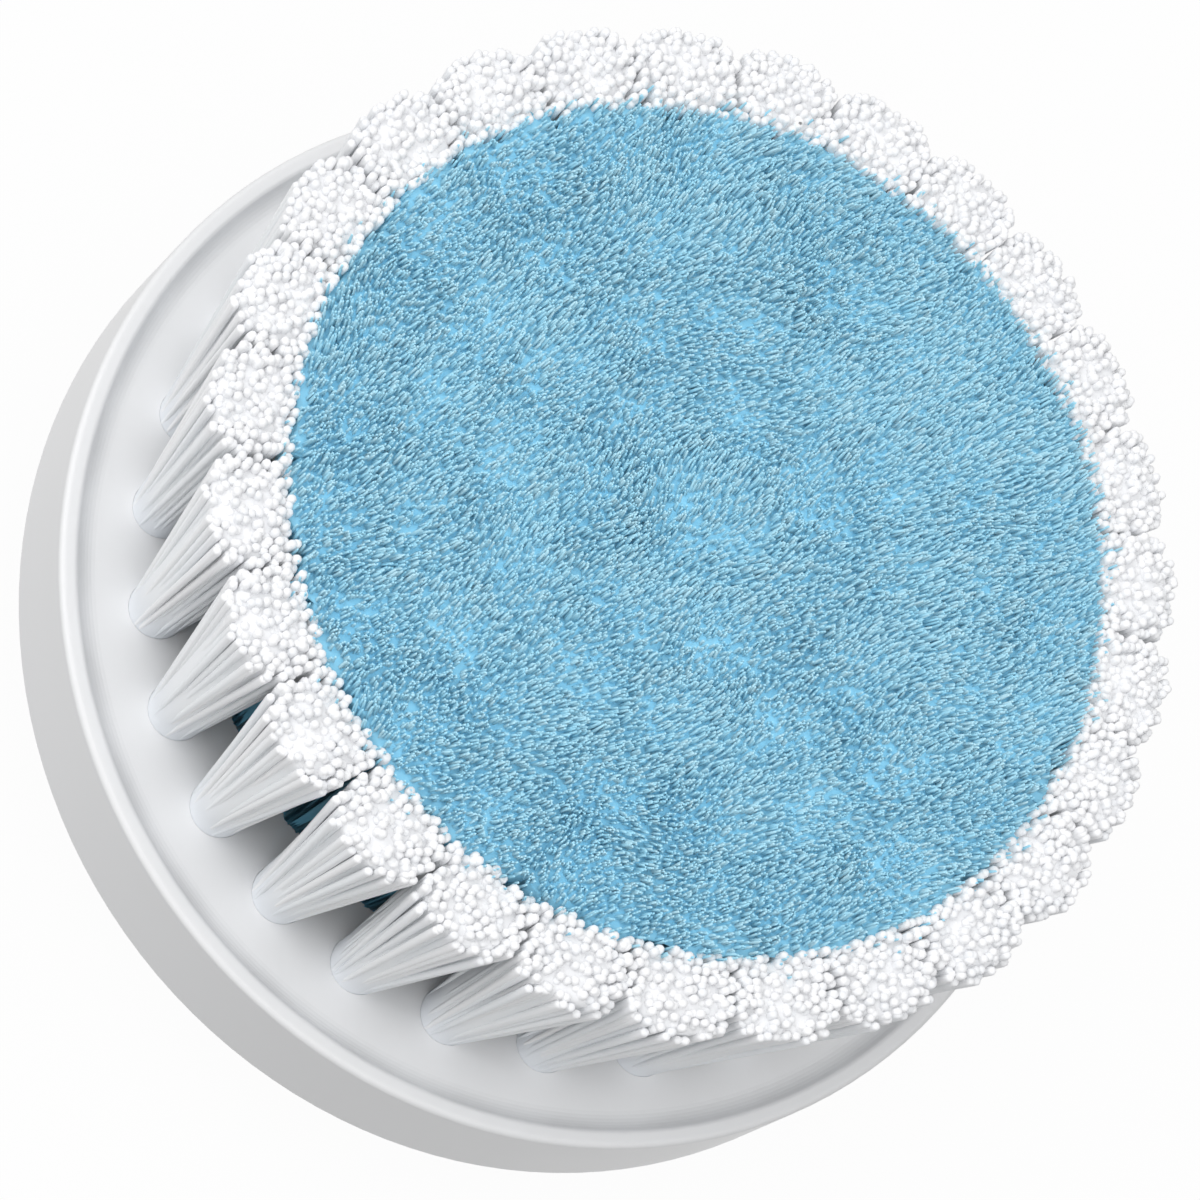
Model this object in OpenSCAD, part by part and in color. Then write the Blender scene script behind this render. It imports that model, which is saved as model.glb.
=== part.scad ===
/* [Plate] */
// Outer diameter of the moulded plate
plate_d = 40; // [37:0.5:44]
// Height of the side wall, from its lower edge to the top of the rim bead
wall_h = 5.2; // [4.9:0.1:7]
// Thickness of the side wall
wall_t = 1.2; // [0.9:0.1:1.5]
// Width of the rounded bead along the rim
rim_w = 0.75; // [0.6:0.05:0.9]
// Depth of the tuft floor below the top of the rim bead
floor_drop = 0.5; // [0.4:0.05:0.7]
// Radius of the cove where the bead runs out into the floor
cove_r = 0.9; // [0.7:0.1:1.2]
// Thickness of plastic left below the tuft holes
hole_floor = 0.8; // [0.6:0.1:1]
// Thickness of the ribs under the plate
rib_t = 0.8; // [0.6:0.1:1.2]
// Number of radial ribs under the plate
rib_count = 12; // [6:1:18]

/* [Tufts] */
// Diameter of the tuft holes
hole_d = 2.2; // [2:0.05:2.4]
// Depth of the tuft holes
hole_depth = 2.6; // [2.2:0.1:2.8]
// Distance from the edge of the plate to the middle of the white tufts
white_inset = 3.75; // [3.4:0.05:4.2]
// Distance between one ring of tufts and the next
ring_step = 3.05; // [2.8:0.05:3.3]
// Distance between neighbouring tufts of one ring, at their roots
tuft_pitch = 3.78; // [3.4:0.02:4.2]
// Free length of the white tufts, from the floor to their tips
white_len = 12.6; // [9:0.1:16]
// How far the blue tips stand above the white ones
blue_proud = 0.1; // [0:0.1:1]
// How much further out the white tips reach than the ring of their roots
tip_flare = 0.85; // [0.3:0.05:1.2]
// Gap between neighbouring tufts at their tips
tip_gap = 0.14; // [0.1:0.02:0.3]
// Play between a tuft and the wall of its hole
seat_gap = 0.04; // [0.02:0.01:0.08]

/* [Anchors] */
// Thickness of the flat wire anchors
anchor_t = 0.3; // [0.2:0.05:0.4]
// Height of the anchors
anchor_h = 1.5; // [1.2:0.1:1.6]
// Thickness of the filament fold below each anchor
fold_t = 0.4; // [0.3:0.05:0.5]
// Play between an anchor and the filaments round it
anchor_gap = 0.03; // [0.01:0.01:0.05]

/* [Drive hub] */
// How far the sleeve stands below the side wall
sleeve_drop = 4.5; // [4:0.1:8]
// Diameter of the drive socket
socket_d = 7; // [6:0.1:8]
// Thickness of the sleeve's wall
sleeve_t = 2.3; // [2:0.1:2.6]
// Thickness of plastic that closes the socket
socket_roof = 0.8; // [0.6:0.1:1]
// Number of slots that split the sleeve and take the ribs of the drive pin
slot_count = 4; // [3:1:4]
// Width of the slots
slot_w = 1.1; // [0.8:0.1:1.2]
// Length of the slots
slot_h = 3.4; // [2.8:0.1:3.6]
// Diameter of the flange below the plate
flange_d = 20; // [19:0.5:22]
// Thickness of the flange
flange_t = 0.9; // [0.7:0.1:1]
// Thickness of the gussets between flange and sleeve
gusset_t = 1; // [0.8:0.1:1.2]
// Height of the gussets
gusset_h = 1.4; // [1:0.1:1.6]
// Diameter of the melted stakes that hold the flange
stake_d = 1.6; // [1.4:0.1:1.8]
// Diameter of the heads of the stakes
stake_head_d = 2.7; // [2.4:0.1:2.9]
// Height of the heads of the stakes
stake_head_h = 0.5; // [0.4:0.1:0.7]
// Play between the flange, its stakes and its locating ring
hub_gap = 0.1; // [0.05:0.05:0.15]

/* [Spring ring] */
// Thickness of the wire
wire_d = 0.8; // [0.6:0.05:0.9]
// Depth of the groove that the wire lies in
groove_depth = 0.6; // [0.5:0.05:0.7]
// Height of the wire's middle above the mouth of the socket
wire_z = 1.5; // [1.2:0.1:1.8]
// Angle that the open ring leaves free
ring_opening = 40; // [20:5:90]
// Play between the wire and its groove
wire_gap = 0.04; // [0.03:0.01:0.1]

/* [Hidden] */
curve_fn = 96;
hole_fn = 32;

// Levels above the mouth of the socket, which is the lowest face and the origin
wall_z = sleeve_drop;
rim_z = wall_z + wall_h;
floor_z = rim_z - floor_drop;
seat_z = floor_z - hole_depth;
under_z = seat_z - hole_floor;
flange_z = under_z - flange_t;

// Edges of the plate, and how far its ribs end above the lower edge of the side wall
plate_r = plate_d / 2;
bead_r = 0.25;
foot_chamfer = 0.15;
under_fillet = 0.4;
arc_steps = 6;
rib_lift = 0.3;
locator_t = 0.9;

// Rings of tufts, from the white ring inward until only the middle tuft is left
white_r = plate_r - white_inset;
blue_rings = floor((white_r - ring_step) / ring_step);
spread = 1 + tip_flare / (white_r + ring_step / 2);
root_r = hole_d / 2 - seat_gap;
blue_len = white_len + blue_proud;

// Turn of the white ring and of each blue ring, so that roots do not line up from ring to ring
white_turn_angle = -69.3;
blue_turn_angles = [-89.5, 4, 11, 20, 0, 8];

// Outline points round a tuft, and the depth of the furrows between its outer filaments
white_points = 24;
blue_points = 14;
white_furrow_ratio = 0.09;
blue_furrow_ratio = 0.06;
// How square a fanned tip is: 1 is an ellipse, and less fills more of its cell
white_square_power = 0.82;
blue_square_power = 0.45;
// How far the outer filaments of a tuft end below the middle one, and how uneven their ends are
white_drop = 0.5;
blue_drop = 0.3;
crown_drop = 0.1;
crown_scale = 0.76;
uneven = 0.14;

// Sleeve, flange and stakes
socket_r = socket_d / 2;
sleeve_r = socket_r + sleeve_t;
flange_r = flange_d / 2;
sleeve_chamfer = 0.3;
gusset_inset = 0.6;
stake_count = 4;
stake_r = (sleeve_r + flange_r) / 2;
overlap = 0.3;

// Ring 0 is the white one, and ring 1 the outermost blue one
function ring_radius(ring) = white_r - ring * ring_step;
function ring_count(ring) = round(2 * PI * ring_radius(ring) / tuft_pitch);
function ring_turn(ring) = ring == 0 ? white_turn_angle : blue_turn_angles[ring - 1];
function tuft_angle(ring, i) = ring_turn(ring) + i * 360 / ring_count(ring);
function tuft_name(stem, i) = str(stem, i < 9 ? "0" : "", i + 1);
function ring_name(ring) = str("blue_tuft_ring_", ring);

// The fan of each ring ends halfway to its neighbours, spread outward at the tips
function tip_middle(ring) = spread * ring_radius(ring);
function tip_half_width() = (spread * ring_step - tip_gap) / 2;
function tip_half_angle(ring) = 180 / ring_count(ring) - asin(tip_gap / 2 / tip_middle(ring));
function centre_tip_r() = spread * (ring_radius(blue_rings) - ring_step / 2) - tip_gap / 2;

// Every other outline point of a tuft lies in a furrow between two outer filaments
function furrowed(k, depth) = k % 2 == 0 ? 1 : 1 - depth;
function squared(x, power) = sign(x) * pow(abs(x), power);
function arc(x, z, r, from, to) =
    [for (i = [0 : arc_steps]) let (a = from + (to - from) * i / arc_steps) [x + r * cos(a), z + r * sin(a)]];

// Outline of a tuft in its hole, whose middle is at the given distance from the axis
function root_outline(radius, points, furrow) = [
    for (k = [0 : points - 1])
        let (a = 360 * k / points, r = root_r * furrowed(k, furrow))
        [radius + r * cos(a), r * sin(a)]
];

// Outline of a tuft's fanned tip: a cell of its ring with rounded corners
function tip_outline(ring, points, furrow, power, scale) = [
    for (k = [0 : points - 1])
        let (
            a = 360 * k / points,
            s = scale * furrowed(k, furrow),
            r = tip_middle(ring) + s * tip_half_width() * squared(cos(a), power),
            turn = s * tip_half_angle(ring) * squared(sin(a), power)
        )
        [r * cos(turn), r * sin(turn)]
];

// Outline of the middle tuft's tip, which is round
function centre_outline(points, furrow, scale) = [
    for (k = [0 : points - 1])
        let (a = 360 * k / points, r = centre_tip_r() * scale * furrowed(k, furrow))
        [r * cos(a), r * sin(a)]
];

function level(outline, z) = [for (p = outline) [p.x, p.y, z]];
function uneven_level(outline, z) =
    [for (k = [0 : len(outline) - 1]) [outline[k].x, outline[k].y, z - uneven * (k * 5 % 3) / 2]];

// Solid through rings of points, flat below and drawn together to one point on top
module loft(rings, top) {
    n = len(rings[0]);
    last = (len(rings) - 1) * n;
    bottom_face = [[for (k = [0 : n - 1]) k]];
    side_faces = [
        for (row = [0 : n : last - 1], k = [0 : n - 1])
            let (a = row + k, b = row + (k + 1) % n)
            each [[a, a + n, b], [b, a + n, b + n]]
    ];
    top_faces = [for (k = [0 : n - 1]) [last + k, last + n, last + (k + 1) % n]];
    polyhedron([for (ring = rings) each ring, top], concat(bottom_face, side_faces, top_faces));
}

// Flat wire across a tuft hole at the given distance from the axis
module anchor(radius, length, play) {
    size = [anchor_t, length, anchor_h] + [2, 0, 2] * play;
    translate([radius, 0, seat_z + fold_t + anchor_h / 2])
        cube(size, center = true);
}

// Bundle of filaments that is round in its hole, fans out above the floor and is folded round an anchor
module bundle(radius, root, edge, crown, length, edge_drop) {
    tip_z = floor_z + length;
    middle = [(edge[0].x + edge[len(edge) / 2].x) / 2, 0, tip_z];
    difference() {
        loft([
            level(root, seat_z),
            level(root, floor_z),
            uneven_level(edge, tip_z - edge_drop),
            uneven_level(crown, tip_z - crown_drop)
        ], middle);
        anchor(radius, 2 * hole_d, anchor_gap);
    }
}

module white_tuft(i) {
    color([0.95, 0.96, 0.97])
        rotate(tuft_angle(0, i))
        bundle(
            white_r,
            root_outline(white_r, white_points, white_furrow_ratio),
            tip_outline(0, white_points, white_furrow_ratio, white_square_power, 1),
            tip_outline(0, white_points, white_furrow_ratio, white_square_power, crown_scale),
            white_len,
            white_drop
        );
}

module blue_tuft(ring, i) {
    radius = ring_radius(ring);
    color([0.5, 0.74, 0.88])
        rotate(tuft_angle(ring, i))
        bundle(
            radius,
            root_outline(radius, blue_points, blue_furrow_ratio),
            tip_outline(ring, blue_points, blue_furrow_ratio, blue_square_power, 1),
            tip_outline(ring, blue_points, blue_furrow_ratio, blue_square_power, crown_scale),
            blue_len,
            blue_drop
        );
}

module blue_tuft_ring(ring) {
    for (i = [0 : ring_count(ring) - 1])
        blue_tuft(ring, i);
}

module blue_tuft_centre() {
    color([0.5, 0.74, 0.88])
        bundle(
            0,
            root_outline(0, blue_points, blue_furrow_ratio),
            centre_outline(blue_points, blue_furrow_ratio, 1),
            centre_outline(blue_points, blue_furrow_ratio, crown_scale),
            blue_len,
            blue_drop
        );
}

// Puts its child at every tuft hole, at its distance from the axis
module at_tuft_holes() {
    for (ring = [0 : blue_rings], i = [0 : ring_count(ring) - 1])
        rotate(tuft_angle(ring, i))
        translate([ring_radius(ring), 0, 0])
        children();
    children();
}

module tuft_anchors() {
    color([0.8, 0.76, 0.6])
        at_tuft_holes()
        anchor(0, hole_d - 2 * seat_gap, 0);
}

// Half section of the plate: floor, cove, rim bead, straight wall with its lower edge, and underside
function plate_section() =
    let (
        rise = acos(1 - floor_drop / (cove_r + bead_r)),
        bead_x = plate_r - rim_w + bead_r,
        cove_x = bead_x - (cove_r + bead_r) * sin(rise),
        inner_r = plate_r - wall_t
    )
    concat(
        [[0, under_z], [0, floor_z]],
        arc(cove_x, floor_z + cove_r, cove_r, -90, rise - 90),
        arc(bead_x, rim_z - bead_r, bead_r, 90 + rise, 90),
        arc(plate_r - bead_r, rim_z - bead_r, bead_r, 90, 0),
        [[plate_r, wall_z + foot_chamfer], [plate_r - foot_chamfer, wall_z], [inner_r, wall_z]],
        arc(inner_r - under_fillet, under_z - under_fillet, under_fillet, 0, 90)
    );

module at_stakes() {
    for (i = [0 : stake_count - 1])
        rotate((i + 0.5) * 360 / stake_count)
        translate([stake_r, 0, 0])
        children();
}

// Pin that passes through the flange, with its melted head below
module stake() {
    translate([0, 0, flange_z - stake_head_h])
        cylinder(h = flange_t + stake_head_h + overlap, d = stake_d, $fn = hole_fn);
    translate([0, 0, flange_z - stake_head_h])
        cylinder(h = stake_head_h, d1 = stake_d, d2 = stake_head_d, $fn = hole_fn);
}

module plate_ribs() {
    locator_r = flange_r + hub_gap + locator_t;
    rib_z = wall_z + rib_lift;
    rib_h = under_z - rib_z + overlap;
    translate([0, 0, rib_z])
        difference() {
            cylinder(h = rib_h, r = locator_r, $fn = curve_fn);
            translate([0, 0, -overlap])
                cylinder(h = rib_h, r = flange_r + hub_gap, $fn = curve_fn);
        }
    for (i = [0 : rib_count - 1])
        rotate(i * 360 / rib_count)
        translate([locator_r - overlap, -rib_t / 2, rib_z])
        cube([plate_r - wall_t - locator_r + 2 * overlap, rib_t, rib_h]);
}

module brush_plate() {
    color([0.92, 0.93, 0.94])
        difference() {
            union() {
                rotate_extrude($fn = curve_fn)
                    polygon(plate_section());
                plate_ribs();
                at_stakes()
                    stake();
            }
            at_tuft_holes()
                translate([0, 0, seat_z])
                cylinder(h = hole_depth + overlap, d = hole_d, $fn = hole_fn);
        }
}

module gussets() {
    for (i = [0 : stake_count - 1])
        rotate(i * 360 / stake_count)
        translate([0, gusset_t / 2, 0])
        rotate([90, 0, 0])
        linear_extrude(gusset_t)
        polygon([
            [sleeve_r - overlap, flange_z + overlap],
            [flange_r - gusset_inset, flange_z + overlap],
            [flange_r - gusset_inset, flange_z],
            [sleeve_r, flange_z - gusset_h],
            [sleeve_r - overlap, flange_z - gusset_h]
        ]);
}

module sleeve() {
    translate([0, 0, sleeve_chamfer])
        cylinder(h = under_z - sleeve_chamfer, r = sleeve_r, $fn = curve_fn);
    cylinder(h = sleeve_chamfer, r1 = sleeve_r - sleeve_chamfer, r2 = sleeve_r, $fn = curve_fn);
}

module wire_groove() {
    rotate_extrude($fn = curve_fn)
        translate([sleeve_r - groove_depth, wire_z - wire_d / 2 - wire_gap])
        square([groove_depth + overlap, wire_d + 2 * wire_gap]);
}

module drive_hub() {
    color([0.82, 0.84, 0.86])
        difference() {
            union() {
                sleeve();
                translate([0, 0, flange_z])
                    cylinder(h = flange_t, r = flange_r, $fn = curve_fn);
                gussets();
            }
            translate([0, 0, -overlap])
                cylinder(h = under_z - socket_roof + overlap, r = socket_r, $fn = curve_fn);
            for (i = [0 : slot_count - 1])
                rotate(i * 360 / slot_count)
                translate([0, -slot_w / 2, -overlap])
                cube([sleeve_r + overlap, slot_w, slot_h + overlap]);
            wire_groove();
            at_stakes()
                translate([0, 0, flange_z - overlap])
                cylinder(h = flange_t + 2 * overlap, d = stake_d + 2 * hub_gap, $fn = hole_fn);
        }
}

module hub_spring_ring() {
    color([0.7, 0.71, 0.72])
        rotate(ring_opening / 2)
        rotate_extrude(angle = 360 - ring_opening, $fn = curve_fn)
        translate([sleeve_r - groove_depth + wire_gap + wire_d / 2, wire_z])
        circle(d = wire_d, $fn = hole_fn);
}

brush_plate();
for (i = [0 : ring_count(0) - 1])
    white_tuft(i);
for (i = [0 : ring_count(1) - 1])
    blue_tuft(1, i);
for (ring = [2 : blue_rings])
    blue_tuft_ring(ring);
blue_tuft_centre();
tuft_anchors();
drive_hub();
hub_spring_ring();
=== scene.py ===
import math

import bpy
import numpy as np
from mathutils import Matrix, Vector, kdtree, noise


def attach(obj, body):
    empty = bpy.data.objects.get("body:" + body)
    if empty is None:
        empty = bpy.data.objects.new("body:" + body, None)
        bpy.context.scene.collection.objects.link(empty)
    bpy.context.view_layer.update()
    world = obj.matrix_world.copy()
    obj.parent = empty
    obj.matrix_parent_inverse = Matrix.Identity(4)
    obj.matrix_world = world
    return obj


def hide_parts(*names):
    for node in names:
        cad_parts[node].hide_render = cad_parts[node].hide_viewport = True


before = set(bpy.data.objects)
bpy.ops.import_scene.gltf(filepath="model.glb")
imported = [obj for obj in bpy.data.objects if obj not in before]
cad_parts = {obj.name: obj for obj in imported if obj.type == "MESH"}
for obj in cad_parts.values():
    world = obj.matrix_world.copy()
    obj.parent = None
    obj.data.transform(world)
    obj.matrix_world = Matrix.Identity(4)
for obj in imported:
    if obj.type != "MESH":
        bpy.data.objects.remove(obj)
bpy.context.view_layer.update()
MM = 0.001
bpy.ops.object.select_all(action="DESELECT")


# ------------------------------------------------------------------ Brush plate
# One white moulded disc: a tuft floor inside a rounded rim bead, a straight side wall, ribs
# below. It is hard glossy plastic straight from a polished tool, so its skin is nearly even.

def start_material(name):
    material = bpy.data.materials.new(name)
    material.use_nodes = True
    tree = material.node_tree
    surface = tree.nodes["Principled BSDF"]
    return material, tree, surface


def place_node(tree, kind, **settings):
    node = tree.nodes.new(kind)
    for name, value in settings.items():
        setattr(node, name, value)
    return node


def noise_on(tree, points, scale, detail=2.0, roughness=0.5):
    """A noise texture on points, whose scale is in repeats per metre."""
    texture = place_node(tree, "ShaderNodeTexNoise")
    texture.inputs["Scale"].default_value = scale
    texture.inputs["Detail"].default_value = detail
    texture.inputs["Roughness"].default_value = roughness
    tree.links.new(points, texture.inputs["Vector"])
    return texture.outputs["Fac"]


def ranged(tree, value, low, high, new_low, new_high):
    step = place_node(tree, "ShaderNodeMapRange")
    for socket, number in zip(step.inputs[1:5], (low, high, new_low, new_high)):
        socket.default_value = number
    tree.links.new(value, step.inputs["Value"])
    return step.outputs["Result"]


def mixed_colour(tree, share, first, second, blend="MIX"):
    """Mixes two colours, each given as a socket or as written numbers."""
    mix = place_node(tree, "ShaderNodeMix", data_type="RGBA", blend_type=blend)
    for socket, given in ((mix.inputs[0], share), (mix.inputs[6], first), (mix.inputs[7], second)):
        if isinstance(given, bpy.types.NodeSocket):
            tree.links.new(given, socket)
        elif isinstance(given, tuple):
            socket.default_value = (*given, 1.0)
        else:
            socket.default_value = given
    return mix.outputs[2]


def build_moulded_skin():
    """Skin of moulded plastic: faint flow clouds, uneven shine, and a fine grain."""
    group = bpy.data.node_groups.new("Moulded skin", "ShaderNodeTree")
    for name, kind in (
        ("Colour", "NodeSocketColor"), ("Cloud colour", "NodeSocketColor"),
        ("Shine low", "NodeSocketFloat"), ("Shine high", "NodeSocketFloat"),
        ("Grain", "NodeSocketFloat"),
    ):
        group.interface.new_socket(name, in_out="INPUT", socket_type=kind)
    for name, kind in (
        ("Colour", "NodeSocketColor"), ("Roughness", "NodeSocketFloat"), ("Height", "NodeSocketFloat"),
    ):
        group.interface.new_socket(name, in_out="OUTPUT", socket_type=kind)
    given = place_node(group, "NodeGroupInput")
    result = place_node(group, "NodeGroupOutput")
    points = place_node(group, "ShaderNodeTexCoord").outputs["Object"]
    clouds = ranged(group, noise_on(group, points, 110, 3), 0.35, 0.65, 0, 1)
    smears = ranged(group, noise_on(group, points, 420, 4, 0.6), 0.3, 0.7, 0, 1)
    grain = noise_on(group, points, 9000, 2, 0.6)
    colour = mixed_colour(group, clouds, given.outputs["Colour"], given.outputs["Cloud colour"])
    shine = place_node(group, "ShaderNodeMix", data_type="FLOAT")
    group.links.new(smears, shine.inputs[0])
    group.links.new(given.outputs["Shine low"], shine.inputs[2])
    group.links.new(given.outputs["Shine high"], shine.inputs[3])
    height = place_node(group, "ShaderNodeMath", operation="MULTIPLY")
    group.links.new(grain, height.inputs[0])
    group.links.new(given.outputs["Grain"], height.inputs[1])
    group.links.new(colour, result.inputs["Colour"])
    group.links.new(shine.outputs[0], result.inputs["Roughness"])
    group.links.new(height.outputs[0], result.inputs["Height"])
    return group


moulded_skin = build_moulded_skin()


def moulded_plastic(name, colour, cloud_colour, shine, grain):
    """Plastic with the moulded skin. Shine is the lowest and highest roughness, grain is in metres."""
    material, tree, surface = start_material(name)
    skin = place_node(tree, "ShaderNodeGroup", node_tree=moulded_skin)
    skin.inputs["Colour"].default_value = (*colour, 1)
    skin.inputs["Cloud colour"].default_value = (*cloud_colour, 1)
    skin.inputs["Shine low"].default_value = shine[0]
    skin.inputs["Shine high"].default_value = shine[1]
    skin.inputs["Grain"].default_value = 1.0
    bump = place_node(tree, "ShaderNodeBump")
    bump.inputs["Strength"].default_value = 0.6
    bump.inputs["Distance"].default_value = grain
    tree.links.new(skin.outputs["Height"], bump.inputs["Height"])
    tree.links.new(skin.outputs["Colour"], surface.inputs["Base Color"])
    tree.links.new(skin.outputs["Roughness"], surface.inputs["Roughness"])
    tree.links.new(bump.outputs["Normal"], surface.inputs["Normal"])
    return material


def dress(node, material):
    """Gives a CAD node's object its finish, and leaves its mesh alone."""
    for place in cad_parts[node].material_slots:
        place.link = "OBJECT"
        place.material = material


plate_white = moulded_plastic(
    "Plate white plastic", (0.79, 0.795, 0.805), (0.78, 0.785, 0.795), (0.28, 0.295), 3e-6
)
dress("brush_plate", plate_white)


# ------------------------------------------------------------------ Tuft anchors
# Short pieces of flat brass wire, driven into each hole across the fold of its tuft.
# They are drawn and cut wire, with faint lines along it.

anchor_brass, tree, surface = start_material("Anchor brass")
surface.inputs["Metallic"].default_value = 1.0
drawn = ranged(tree, noise_on(
    tree, place_node(tree, "ShaderNodeTexCoord").outputs["Object"], 6000, 3), 0.3, 0.7, 0, 1)
tree.links.new(
    mixed_colour(tree, drawn, (0.72, 0.52, 0.26), (0.82, 0.63, 0.34)), surface.inputs["Base Color"])
tree.links.new(ranged(tree, drawn, 0, 1, 0.28, 0.42), surface.inputs["Roughness"])
dress("tuft_anchors", anchor_brass)


# ------------------------------------------------------------------ White tufts
# 27 tufts of stiff white nylon filaments, cut level and rounded at their ends. Each tuft is
# round in its hole and fans out to meet its neighbours, so that straight lines run up its sides.

floor_z = 9.2 * MM
hole_end_z = 8.55 * MM
hole_r = 1.1 * MM
tip_spread = 1.0478
ring_step = 3.05 * MM
white_ring_r = 16.25 * MM
white_turn = -69.3
white_tip_z = 21.8 * MM
white_rows = (11, 12)
white_shake = 0.5
white_root_thick = 0.22 * MM
white_tip_thick = 0.34 * MM


def model_filament(name, sides, thick, rings, cap_z):
    """One filament, upright on the axis: a foot of that many sides drawn up through rings of
    (height, width), with flat ends. Its foot is in the hole and its top at cap_z."""
    bpy.ops.object.select_all(action="DESELECT")
    bpy.ops.mesh.primitive_circle_add(
        vertices=sides, radius=thick / 2, fill_type="NGON", location=(0, 0, hole_end_z))
    filament = bpy.context.object
    filament.name = name
    bpy.ops.object.transform_apply(location=True)
    bpy.ops.object.mode_set(mode="EDIT")
    bpy.ops.mesh.select_all(action="SELECT")
    z, width = hole_end_z, 1.0
    for ring_z, ring_width in (*rings, (cap_z, rings[-1][1] * 0.55)):
        bpy.ops.mesh.extrude_region_move(TRANSFORM_OT_translate={"value": (0, 0, ring_z - z)})
        scale = ring_width / width
        bpy.ops.transform.resize(value=(scale, scale, 1), center_override=(0, 0, ring_z))
        z, width = ring_z, ring_width
    bpy.ops.mesh.select_all(action="SELECT")
    bpy.ops.mesh.normals_make_consistent(inside=False)
    bpy.ops.object.mode_set(mode="OBJECT")
    return filament


def points_of(mesh):
    """A mesh's points as an array, and the points of each of its faces."""
    points = np.empty(len(mesh.vertices) * 3)
    mesh.vertices.foreach_get("co", points)
    return points.reshape(-1, 3), [list(f.vertices) for f in mesh.polygons]


def lay_flat(points, faces):
    """Where each face corner of an upright filament lies on a flat cell of its own: the way
    round it runs across, its height runs up, and its two ends lie below and above."""
    rise = (points[:, 2] - points[:, 2].min()) / np.ptp(points[:, 2])
    around = np.arctan2(points[:, 1], points[:, 0]) / (2 * math.pi) % 1
    sides = np.sum(rise < 1e-6)
    corners = []
    for face in faces:
        if np.ptp(rise[face]) < 1e-6:
            reach = np.abs(points[face, :2]).max()
            end = 0.03 if rise[face[0]] < 0.5 else 0.97
            across = 0.5 + 0.4 * points[face, 0] / reach
            up = end + 0.02 * points[face, 1] / reach
        else:
            across = np.where(np.ptp(around[face]) > 0.5, (around[face] - 0.5) % 1 + 0.5, around[face])
            across = 0.04 + 0.92 * across / (1 + 1 / sides)
            up = 0.06 + 0.88 * rise[face]
        corners.append(np.column_stack([across, up]))
    return np.concatenate(corners)


def place_filaments(filament, top_z, roots, elbows, tips, elbow_z, draw):
    """Points of many copies of one filament. A copy runs upright out of its hole at its root,
    straight to its elbow, and on to its tip, whose own height stretches it."""
    points, faces = points_of(filament.data)
    spins = draw.uniform(0, 2 * math.pi, len(roots))
    cos, sin = np.cos(spins)[:, None], np.sin(spins)[:, None]
    z = points[:, 2][None, :]
    across = points[:, 0] * cos - points[:, 1] * sin, points[:, 0] * sin + points[:, 1] * cos
    low = np.clip((z - floor_z) / (elbow_z - floor_z), 0, 1)
    high = np.clip((z - elbow_z) / (top_z - elbow_z), 0, 1)
    x, y = (
        across[k] + roots[:, k][:, None] + (elbows[:, k] - roots[:, k])[:, None] * low
        + (tips[:, k] - elbows[:, k])[:, None] * high
        for k in (0, 1))
    reach = ((tips[:, 2] - floor_z) / (top_z - floor_z))[:, None]
    z = np.where(z > floor_z, floor_z + (z - floor_z) * reach, z)
    return np.stack([x, y, z], axis=2), faces, lay_flat(points, faces)


def place_heart(heart, root_of, tip_of, degrees):
    """Points of the close-packed heart of a tuft, fanned from its round root to its cell."""
    points, faces = points_of(heart.data)
    x, y = points[:, 0] / hole_r, points[:, 1] / hole_r
    u, v = (
        (np.sqrt(np.maximum(2 + s * (x * x - y * y) + 2 ** 1.5 * q, 0))
         - np.sqrt(np.maximum(2 + s * (x * x - y * y) - 2 ** 1.5 * q, 0))) / 2
        for s, q in ((1, x), (-1, y)))
    share = np.clip((points[:, 2] - floor_z) / (white_tip_z - floor_z), 0, 1)[:, None]
    root, tip = root_of(np.stack([x, y], axis=1)), tip_of(u, v)
    placed = turned(root + (tip - root) * share, degrees)
    return np.column_stack([placed, points[:, 2]]), faces, lay_flat(points, faces)


def make_tuft(name, filaments, tones, hearts, top_z):
    """One mesh from placed filaments and hearts, with a tone for each filament, and the rise of
    each point from 0 at the floor to 1 at the top."""
    placed, faces, corners = filaments
    count, each = placed.shape[:2]
    points = [placed.reshape(-1, 3)]
    all_faces = [[v + i * each for v in face] for i in range(count) for face in faces]
    all_tones = [np.repeat(tones, each)]
    all_corners = [corners] * count
    for heart_points, heart_faces, heart_corners in hearts:
        start = sum(len(p) for p in points)
        points.append(heart_points)
        all_faces += [[v + start for v in face] for face in heart_faces]
        all_tones.append(np.full(len(heart_points), 0.4))
        all_corners.append(heart_corners)
    columns = math.ceil(math.sqrt(len(all_corners)))
    flat = np.concatenate([
        (corners + [k % columns, k // columns]) / columns for k, corners in enumerate(all_corners)])
    points = np.concatenate(points)
    mesh = bpy.data.meshes.new(name)
    mesh.from_pydata(points.tolist(), [], all_faces)
    rise = np.clip((points[:, 2] - floor_z) / (top_z - floor_z), 0, 1)
    for attribute, values in (("tone", np.concatenate(all_tones)), ("rise", rise)):
        mesh.attributes.new(attribute, "FLOAT", "POINT").data.foreach_set(
            "value", values.astype(np.float32))
    mesh.uv_layers.new(name="OFBake").data.foreach_set("uv", flat.ravel().astype(np.float32))
    mesh.polygons.foreach_set("use_smooth", [True] * len(mesh.polygons))
    tuft = bpy.data.objects.new(name, mesh)
    bpy.context.scene.collection.objects.link(tuft)
    return tuft


def turned(points, degrees):
    """Flat points turned about the head's axis."""
    angle = math.radians(degrees)
    c, s = math.cos(angle), math.sin(angle)
    return np.stack([points[:, 0] * c - points[:, 1] * s, points[:, 0] * s + points[:, 1] * c], axis=1)


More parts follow.
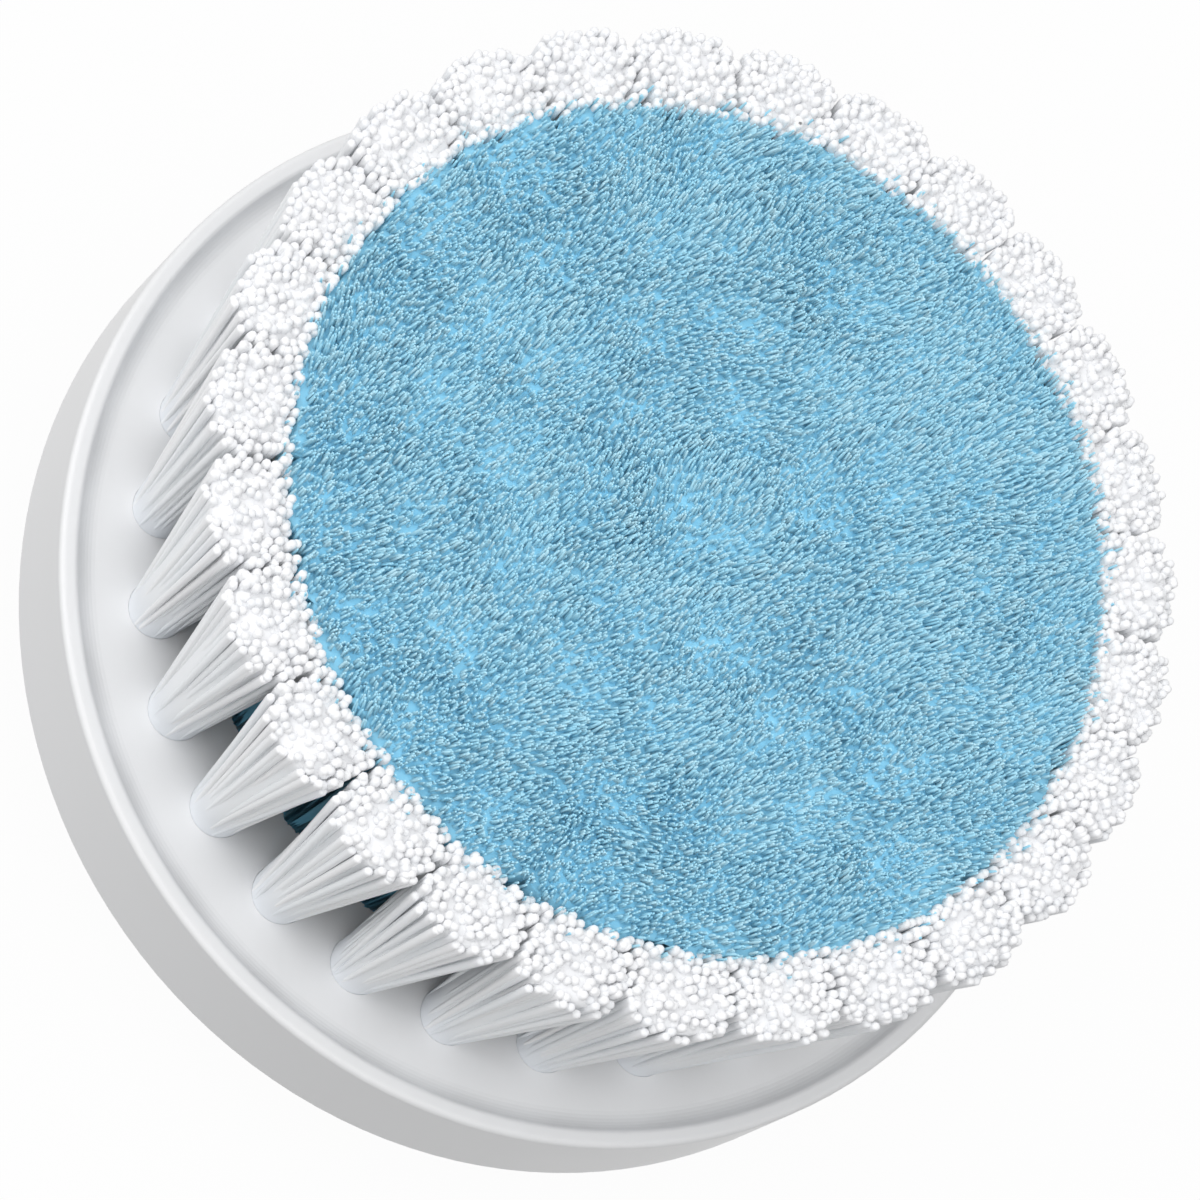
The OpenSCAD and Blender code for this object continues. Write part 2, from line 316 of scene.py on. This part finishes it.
def spread_square(rows, columns, shake, draw):
    """Points spread over the square from -1 to 1 in rows and columns, each shaken off its place
    by that share of a step, and the same points drawn in to the disc of radius 1."""
    u, v = np.meshgrid(
        (np.arange(rows) + 0.5) / rows * 2 - 1, (np.arange(columns) + 0.5) / columns * 2 - 1)
    u = u.ravel() + draw.uniform(-shake, shake, rows * columns) * 2 / rows
    v = v.ravel() + draw.uniform(-shake, shake, rows * columns) * 2 / columns
    u_in, v_in = np.clip(u, -1, 1), np.clip(v, -1, 1)
    disc = np.stack([u_in * np.sqrt(1 - v_in ** 2 / 2), v_in * np.sqrt(1 - u_in ** 2 / 2)], axis=1)
    return u, v, disc


def build_filament_tint():
    """Tint of a filament: painted shade near its root, its tip colour towards its tip (a painted
    highlight on the blue), and a little different from one filament to the next. Light that passes
    through the filaments evens their shading, so their normals are turned up by that much."""
    group = bpy.data.node_groups.new("Filament tint and painted shade", "ShaderNodeTree")
    for name in ("Root", "Side", "Tip", "Pale"):
        group.interface.new_socket(name, in_out="INPUT", socket_type="NodeSocketColor")
    for name in ("Root end", "Tip start", "Evening"):
        group.interface.new_socket(name, in_out="INPUT", socket_type="NodeSocketFloat")
    group.interface.new_socket("Colour", in_out="OUTPUT", socket_type="NodeSocketColor")
    group.interface.new_socket("Normal", in_out="OUTPUT", socket_type="NodeSocketVector")
    given = place_node(group, "NodeGroupInput")
    result = place_node(group, "NodeGroupOutput")
    rise = place_node(group, "ShaderNodeAttribute", attribute_name="rise").outputs["Fac"]
    tone = place_node(group, "ShaderNodeAttribute", attribute_name="tone").outputs["Fac"]
    from_root = place_node(group, "ShaderNodeMapRange", interpolation_type="SMOOTHSTEP")
    group.links.new(rise, from_root.inputs["Value"])
    group.links.new(given.outputs["Root end"], from_root.inputs["From Max"])
    to_tip = place_node(group, "ShaderNodeMapRange", interpolation_type="SMOOTHSTEP")
    group.links.new(rise, to_tip.inputs["Value"])
    group.links.new(given.outputs["Tip start"], to_tip.inputs["From Min"])
    # Painted shade: the root colour darkens each filament from the floor up to Root end.
    side = mixed_colour(
        group, from_root.outputs["Result"], given.outputs["Root"], given.outputs["Side"])
    # Towards the top the tip colour takes over; on the blue it is a painted highlight where the tips
    # catch the light.
    tip = mixed_colour(group, to_tip.outputs["Result"], side, given.outputs["Tip"])
    pale = ranged(group, tone, 0.45, 1, 0, 1)
    result_colour = mixed_colour(group, pale, tip, given.outputs["Pale"])
    # Filaments with a deep tone, drawn at random, take up to a third of the root colour, which is
    # painted shade.
    deep = ranged(group, tone, 0, 0.45, 0.35, 0)
    result_colour = mixed_colour(group, deep, result_colour, given.outputs["Root"])
    group.links.new(result_colour, result.inputs["Colour"])
    up = place_node(group, "ShaderNodeCombineXYZ")
    group.links.new(given.outputs["Evening"], up.inputs["Z"])
    turned_up = place_node(group, "ShaderNodeVectorMath", operation="ADD")
    group.links.new(
        place_node(group, "ShaderNodeNewGeometry").outputs["Normal"], turned_up.inputs[0])
    group.links.new(up.outputs["Vector"], turned_up.inputs[1])
    evened = place_node(group, "ShaderNodeVectorMath", operation="NORMALIZE")
    group.links.new(turned_up.outputs[0], evened.inputs[0])
    group.links.new(evened.outputs[0], result.inputs["Normal"])
    return group


filament_tint_and_shade = build_filament_tint()


def filament_finish(name, root, side, tip, pale, root_end, tip_start, evening, shine):
    material, tree, surface = start_material(name)
    tint = place_node(tree, "ShaderNodeGroup", node_tree=filament_tint_and_shade)
    for socket, colour in (("Root", root), ("Side", side), ("Tip", tip), ("Pale", pale)):
        tint.inputs[socket].default_value = (*colour, 1)
    tint.inputs["Root end"].default_value = root_end
    tint.inputs["Tip start"].default_value = tip_start
    tint.inputs["Evening"].default_value = evening
    tree.links.new(tint.outputs["Colour"], surface.inputs["Base Color"])
    tree.links.new(tint.outputs["Normal"], surface.inputs["Normal"])
    surface.inputs["Roughness"].default_value = shine
    return material


# Painted shade: the white root colour is greyer and bluer than the side colour, for the shade near the
# floor among the tufts. The tip colour is a touch greyer than the side.
white_nylon = filament_finish(
    "White nylon filament", (0.78, 0.81, 0.85), (0.87, 0.89, 0.91), (0.85, 0.855, 0.87),
    (0.88, 0.885, 0.90), 0.35, 0.8, 0.35, 0.38)
white_filament = model_filament(
    "white_filament", 8, white_root_thick,
    [(floor_z, 1.0), (white_tip_z - 0.15 * MM, white_tip_thick / white_root_thick),
     (white_tip_z - 0.05 * MM, 0.82 * white_tip_thick / white_root_thick)], white_tip_z)

white_nodes = sorted(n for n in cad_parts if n.startswith("white_tuft_"))
white_heart = model_filament(
    "white_heart", 24, 2 * hole_r - 0.02 * MM,
    [(floor_z, 1.0), (white_tip_z - 0.8 * MM, 0.9), (white_tip_z - 0.55 * MM, 0.82)],
    white_tip_z - 0.4 * MM)
half_width = tip_spread * ring_step / 2


def white_cell(u, v):
    """Where a filament's tip is in the cell of its tuft, with a rounded lobe on the outside."""
    lobe = np.where(u > 0, 0.45 * u * v ** 4, 0)
    r = tip_spread * white_ring_r + half_width * (0.96 * u - lobe)
    turn = math.pi / len(white_nodes) * v * (0.99 - 0.09 * np.clip(u, 0, 1))
    return np.stack([r * np.cos(turn), r * np.sin(turn)], axis=1)


for i, node in enumerate(white_nodes):
    draw = np.random.default_rng(100 + i)
    u, v, disc = spread_square(*white_rows, white_shake, draw)
    degrees = white_turn + i * 360 / len(white_nodes)
    roots = turned(disc * (hole_r - white_root_thick / 2) + [white_ring_r, 0], degrees)
    tips = turned(white_cell(u, v), degrees)
    fallen = 0.4 * MM * np.clip(u, 0, 1) ** 3 + 0.15 * MM * np.clip(-u, 0, 1) ** 3
    fallen += 0.4 * MM * draw.random(len(u)) ** 1.5
    filaments = place_filaments(
        white_filament, white_tip_z, roots, (roots + tips) / 2,
        np.column_stack([tips, white_tip_z - fallen]), (floor_z + white_tip_z) / 2, draw)
    heart = place_heart(white_heart, lambda d: d * hole_r + [white_ring_r, 0], white_cell, degrees)
    tuft = make_tuft(
        node.replace("tuft", "filaments"), filaments, draw.random(len(u)), [heart], white_tip_z)
    tuft.data.materials.append(white_nylon)
    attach(tuft, "root")
    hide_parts(node)
bpy.data.objects.remove(white_filament)
bpy.data.objects.remove(white_heart)


# ------------------------------------------------------------------ Blue tufts
# Much finer and softer blue filaments, packed so close that their tips make one plush field.
# Damp use leaves the tips in small wisps that lean together, each a little paler or deeper.

blue_ring_radii = [13.2 * MM, 10.15 * MM, 7.1 * MM, 4.05 * MM]
blue_ring_counts = [22, 17, 12, 7]
blue_ring_turns = [-89.5, 4, 11, 20]
blue_tip_z = 21.85 * MM
blue_bend_z = blue_tip_z - 0.9 * MM
blue_thick = 0.17 * MM
blue_density = 50  # filaments in a square millimetre of the field
blue_shake = 1.6
blue_elbow = 0.93
centre_count = 960
wisp_spacing = 0.36 * MM

# Painted shade and highlight: the blue root colour is deeper than the side colour, for the shade down
# among the filaments, and the tip colour is paler, a painted highlight where the tips catch the light.
blue_nylon = filament_finish(
    "Blue soft filament", (0.22, 0.64, 0.90), (0.36, 0.76, 0.98), (0.44, 0.81, 0.99),
    (0.56, 0.87, 1.0), 0.6, 0.95, 2.2, 0.6)
surface = blue_nylon.node_tree.nodes["Principled BSDF"]
surface.inputs["Specular IOR Level"].default_value = 0.05
blue_filament = model_filament(
    "blue_filament", 3, blue_thick,
    [(blue_bend_z, 1.0)], blue_tip_z)
blue_heart = model_filament(
    "blue_heart", 16, 2 * hole_r - 0.02 * MM,
    [(floor_z, 1.0), (blue_tip_z - 2 * MM, 1.04), (blue_tip_z - 0.7 * MM, 1.05)],
    blue_tip_z - 0.56 * MM)

draw = np.random.default_rng(5)
noise.seed_set(5)
field_r = 16 * MM
lines = np.arange(-field_r, field_r, wisp_spacing)
wisp_x, wisp_y = np.meshgrid(lines, lines)
wisps = np.stack([wisp_x.ravel(), wisp_y.ravel()], axis=1)
wisps += draw.uniform(-0.5, 0.5, wisps.shape) * wisp_spacing
wisp_lift = draw.normal(0, 0.08 * MM, len(wisps))
wisp_tone = draw.random(len(wisps))
wisp_tree = kdtree.KDTree(len(wisps))
for k, (x, y) in enumerate(wisps):
    wisp_tree.insert((x, y, 0), k)
wisp_tree.balance()


def comb(points, draw):
    """Draws tips together into wisps and leans them, and gives each its height and tone."""
    placed, tones = [], []
    for x, y in points:
        spot, k, _ = wisp_tree.find((x, y, 0))
        lean = noise.noise_vector(Vector((x, y, 0)) * 260)
        pull = draw.uniform(0.1, 0.45)
        x += (spot.x - x) * pull + lean.x * 0.22 * MM
        y += (spot.y - y) * pull + lean.y * 0.22 * MM
        swell = noise.noise(Vector((x, y, 0.01)) * 180) * 0.1 * MM
        z = blue_tip_z + wisp_lift[k] + swell - abs(draw.normal(0, 0.12 * MM))
        placed.append((x, y, min(z, blue_tip_z + 0.25 * MM)))
        tones.append(min(max(0.5 * wisp_tone[k] + 0.5 * draw.random(), 0), 1))
    return np.array(placed), np.array(tones)


def plant_blue(middle_r, count, cell, degrees):
    """Roots in a hole at middle_r, tips spread over its cell and a little into the next ones,
    and the heart between them."""
    rows = math.ceil(math.sqrt(count))
    u, v, disc = spread_square(rows, rows, blue_shake, draw)
    roots = disc * (hole_r - blue_thick / 2) + [middle_r, 0]
    heart = place_heart(blue_heart, lambda d: d * hole_r + [middle_r, 0], cell, degrees)
    heart[0][:, 2] += draw.uniform(-0.05, 0.05) * MM * (heart[0][:, 2] > floor_z + MM)
    return turned(roots, degrees), turned(cell(u, v), degrees), heart


def ring_cell(middle_r, half_angle, fringe):
    """A cell of one ring. The fringe lets the outermost tips stray out over the white ones."""
    def cell(u, v):
        ragged = fringe * np.clip(u, 0, 2) ** 4 * draw.normal(0.1, 0.5, len(u))
        r, turn = middle_r + half_width * u + ragged, half_angle * v
        return np.stack([r * np.cos(turn), r * np.sin(turn)], axis=1)
    return cell


def finish_blue(name, node, planted):
    """Makes one piece of the planted tufts, for that node."""
    roots, tips = (np.concatenate([p[k] for p in planted]) for k in (0, 1))
    combed, tones = comb(tips, draw)
    elbows = roots + (tips - roots) * blue_elbow
    filaments = place_filaments(
        blue_filament, blue_tip_z, roots, elbows, combed, blue_bend_z, draw)
    tuft = make_tuft(name, filaments, tones, [p[2] for p in planted], blue_tip_z)
    tuft.data.materials.append(blue_nylon)
    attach(tuft, "root")
    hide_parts(node)


for ring, (ring_r, count, turn) in enumerate(zip(blue_ring_radii, blue_ring_counts, blue_ring_turns), 1):
    middle = tip_spread * ring_r
    per_tuft = blue_density * 2 * half_width * 2 * math.pi * middle / count / MM / MM
    cell = ring_cell(middle, math.pi / count, 0.6 * MM if ring == 1 else 0)
    planted = [plant_blue(ring_r, per_tuft, cell, turn + i * 360 / count) for i in range(count)]
    if ring == 1:
        for i, tuft in enumerate(planted, 1):
            finish_blue(f"blue_filaments_{i:02d}", f"blue_tuft_{i:02d}", [tuft])
    else:
        finish_blue(f"blue_filaments_ring_{ring}", f"blue_tuft_ring_{ring}", planted)
centre_r = tip_spread * (blue_ring_radii[-1] - ring_step / 2)


def centre_cell(u, v):
    """The round cell in the middle of the field, a little past its edge at most."""
    u, v = np.clip(u, -1.1, 1.1), np.clip(v, -1.1, 1.1)
    return np.stack([u * np.sqrt(1 - v * v / 2.2), v * np.sqrt(1 - u * u / 2.2)], axis=1) * centre_r


finish_blue(
    "blue_filaments_centre", "blue_tuft_centre", [plant_blue(0, centre_count, centre_cell, 0)])
bpy.data.objects.remove(blue_filament)
bpy.data.objects.remove(blue_heart)


# ------------------------------------------------------------------ Drive hub and spring ring
# The hub is a grey-white moulding staked to the plate, and split so that it grips the drive
# pin. An open ring of hard drawn wire in its groove presses it together.

hub_plastic = moulded_plastic(
    "Hub plastic", (0.70, 0.72, 0.745), (0.66, 0.68, 0.71), (0.36, 0.5), 8e-6)
dress("drive_hub", hub_plastic)

ring_steel, tree, surface = start_material("Spring ring steel")
surface.inputs["Metallic"].default_value = 1.0
drawn = ranged(tree, noise_on(
    tree, place_node(tree, "ShaderNodeTexCoord").outputs["Object"], 4000, 3), 0.3, 0.7, 0, 1)
tree.links.new(
    mixed_colour(tree, drawn, (0.55, 0.56, 0.58), (0.66, 0.67, 0.69)), surface.inputs["Base Color"])
tree.links.new(ranged(tree, drawn, 0, 1, 0.22, 0.36), surface.inputs["Roughness"])
dress("hub_spring_ring", ring_steel)


# ------------------------------------------------------------------ Stage, light and camera
# A plain pale floor and a soft studio light: a bright ceiling that fades towards the walls,
# a broad lamp at the left, and a white room where only the camera and mirrors see it.

bpy.ops.object.select_all(action="DESELECT")
bpy.ops.mesh.primitive_plane_add(size=3, location=(0, 0, 0))
floor = bpy.context.object
floor.name = "studio_floor"


def seen_white(tree):
    """1 for the rays that show the white room itself: straight, mirrored or through a clear piece."""
    seen = place_node(tree, "ShaderNodeLightPath")
    share = seen.outputs["Is Camera Ray"]
    for name in ("Is Glossy Ray", "Is Transmission Ray"):
        either = place_node(tree, "ShaderNodeMath", operation="MAXIMUM")
        tree.links.new(share, either.inputs[0])
        tree.links.new(seen.outputs[name], either.inputs[1])
        share = either.outputs[0]
    return share


floor_white, tree, surface = start_material("Studio floor")
surface.inputs["Base Color"].default_value = (0.12, 0.12, 0.12, 1)
surface.inputs["Roughness"].default_value = 0.9
glow = place_node(tree, "ShaderNodeEmission")
glow.inputs["Strength"].default_value = 1.2
part = place_node(tree, "ShaderNodeMath", operation="MULTIPLY")
part.inputs[1].default_value = 0.8
tree.links.new(seen_white(tree), part.inputs[0])
blend = place_node(tree, "ShaderNodeMixShader")
tree.links.new(part.outputs[0], blend.inputs[0])
tree.links.new(surface.outputs["BSDF"], blend.inputs[1])
tree.links.new(glow.outputs["Emission"], blend.inputs[2])
tree.links.new(blend.outputs["Shader"], tree.nodes["Material Output"].inputs["Surface"])
floor.data.materials.append(floor_white)

world = bpy.data.worlds.new("Studio room")
bpy.context.scene.world = world
world.use_nodes = True
tree = world.node_tree
room = tree.nodes["Background"]
room.inputs["Color"].default_value = (1, 1, 1, 1)
towards = place_node(tree, "ShaderNodeVectorMath", operation="DOT_PRODUCT")
towards.inputs[1].default_value = Vector((-0.12, -0.28, 0.95)).normalized()
tree.links.new(place_node(tree, "ShaderNodeTexCoord").outputs["Generated"], towards.inputs[0])
dome = place_node(tree, "ShaderNodeMapRange", interpolation_type="SMOOTHSTEP")
dome.inputs["From Min"].default_value = 0.05
dome.inputs["To Min"].default_value = 0.05
dome.inputs["To Max"].default_value = 1.58
tree.links.new(towards.outputs["Value"], dome.inputs["Value"])
strength = place_node(tree, "ShaderNodeMix", data_type="FLOAT")
strength.inputs[3].default_value = 1.0
tree.links.new(seen_white(tree), strength.inputs[0])
tree.links.new(dome.outputs["Result"], strength.inputs[2])
tree.links.new(strength.outputs[0], room.inputs["Strength"])


def hang_lamp(name, direction, distance, size, power):
    """A square soft lamp, that far from the tufts in that direction, and turned to them."""
    lamp = bpy.data.lights.new(name, "AREA")
    lamp.size, lamp.energy = size, power
    holder = bpy.data.objects.new(name, lamp)
    bpy.context.scene.collection.objects.link(holder)
    aim = Vector(direction).normalized()
    holder.location = aim * distance + Vector((0, 0, 0.012))
    holder.rotation_euler = aim.to_track_quat("Z", "Y").to_euler()


camera_right = Vector((0.5741, 0.7189, 0.3920))
camera_up = Vector((-0.8188, 0.5041, 0.2748))
camera_back = Vector((0.0, -0.4787, 0.8780))
hang_lamp("key_lamp", (-0.75, -0.35, 0.55), 0.4, 0.3, 0.4)

camera_data = bpy.data.cameras.new("photo_camera")
camera_data.sensor_width, camera_data.lens = 36, 150
camera_data.clip_start = 0.01
camera = bpy.data.objects.new("photo_camera", camera_data)
bpy.context.scene.collection.objects.link(camera)
turn = Matrix((camera_right, camera_up, camera_back)).transposed().to_4x4()
camera.matrix_world = Matrix.Translation((0.00003, -0.0877, 0.1724)) @ turn
bpy.context.scene.camera = camera
bpy.context.scene.view_settings.view_transform = "Standard"
